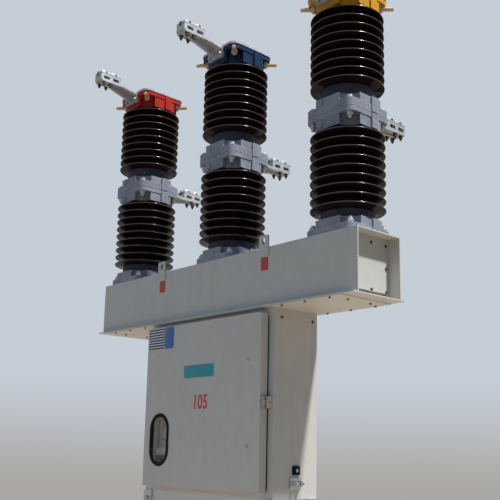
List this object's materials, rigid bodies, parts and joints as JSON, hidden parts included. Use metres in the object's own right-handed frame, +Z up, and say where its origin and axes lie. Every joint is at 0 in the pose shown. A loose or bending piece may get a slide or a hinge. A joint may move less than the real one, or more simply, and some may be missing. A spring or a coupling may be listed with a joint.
{
  "type": "substation circuit breaker",
  "caption": "Outdoor live-tank circuit breaker: porcelain pole columns on a steel beam, with a hung mechanism cabinet and an angle-steel stand.",
  "frame": {"origin": "on the ground at the centre of the four anchor holes", "axes": "+Z up, +X along the beam to the right of a person facing the door, -Y the door side"},
  "size_m": [2.08, 0.83, 3.964],
  "materials": {
    "galvanised": "hot-dip galvanised, dull",
    "cabinet_paint": "light grey-beige paint, satin",
    "latch_steel": "weathered plated steel",
    "black_rubber": "matte",
    "clear_glass": "clear",
    "mechanism_grey": "grey paint",
    "cast_aluminium": "sand-cast, dull",
    "brown_porcelain": "glossy brown glaze",
    "bare_aluminium": "bare, weathered",
    "red_paint": "red phase paint",
    "blue_paint": "blue phase paint",
    "yellow_paint": "yellow phase paint"
  },
  "bodies": {
    "breaker": {"leg_front_left": "galvanised", "leg_front_right": "galvanised", "leg_back_left": "galvanised", "leg_back_right": "galvanised", "top_frame": "galvanised", "brace_front": "galvanised", "brace_back": "galvanised", "brace_left": "galvanised", "brace_right": "galvanised", "earth_terminal": "galvanised", "cabinet_shell": "cabinet_paint", "beam_shell": "cabinet_paint", "bottom_cover": "cabinet_paint", "end_panel_left": "cabinet_paint", "end_panel_right": "cabinet_paint", "mechanism_unit": "mechanism_grey", "base_flange_left": "cast_aluminium", "middle_housing_left": "cast_aluminium", "base_flange_middle": "cast_aluminium", "middle_housing_middle": "cast_aluminium", "base_flange_right": "cast_aluminium", "middle_housing_right": "cast_aluminium", "lower_insulator_left": "brown_porcelain", "upper_insulator_left": "brown_porcelain", "lower_insulator_middle": "brown_porcelain", "upper_insulator_middle": "brown_porcelain", "lower_insulator_right": "brown_porcelain", "upper_insulator_right": "brown_porcelain", "head_cover_left": "bare_aluminium", "middle_terminal_left": "bare_aluminium", "top_terminal_left": "bare_aluminium", "head_cover_middle": "bare_aluminium", "middle_terminal_middle": "bare_aluminium", "top_terminal_middle": "bare_aluminium", "head_cover_right": "bare_aluminium", "middle_terminal_right": "bare_aluminium", "top_terminal_right": "bare_aluminium", "head_casting_left": "red_paint", "head_casting_middle": "blue_paint", "head_casting_right": "yellow_paint"},
    "door": {"cabinet_door": "cabinet_paint", "door_latch": "latch_steel", "window_gasket": "black_rubber", "window_glass": "clear_glass"}
  },
  "joints": [
    {"name": "door_hinge", "type": "hinge", "parent": "breaker", "child": "door", "pos_m": [-0.484, -0.1695, 1.864], "axis": [0, 0, -1], "range_deg": [0, 110]}
  ]
}
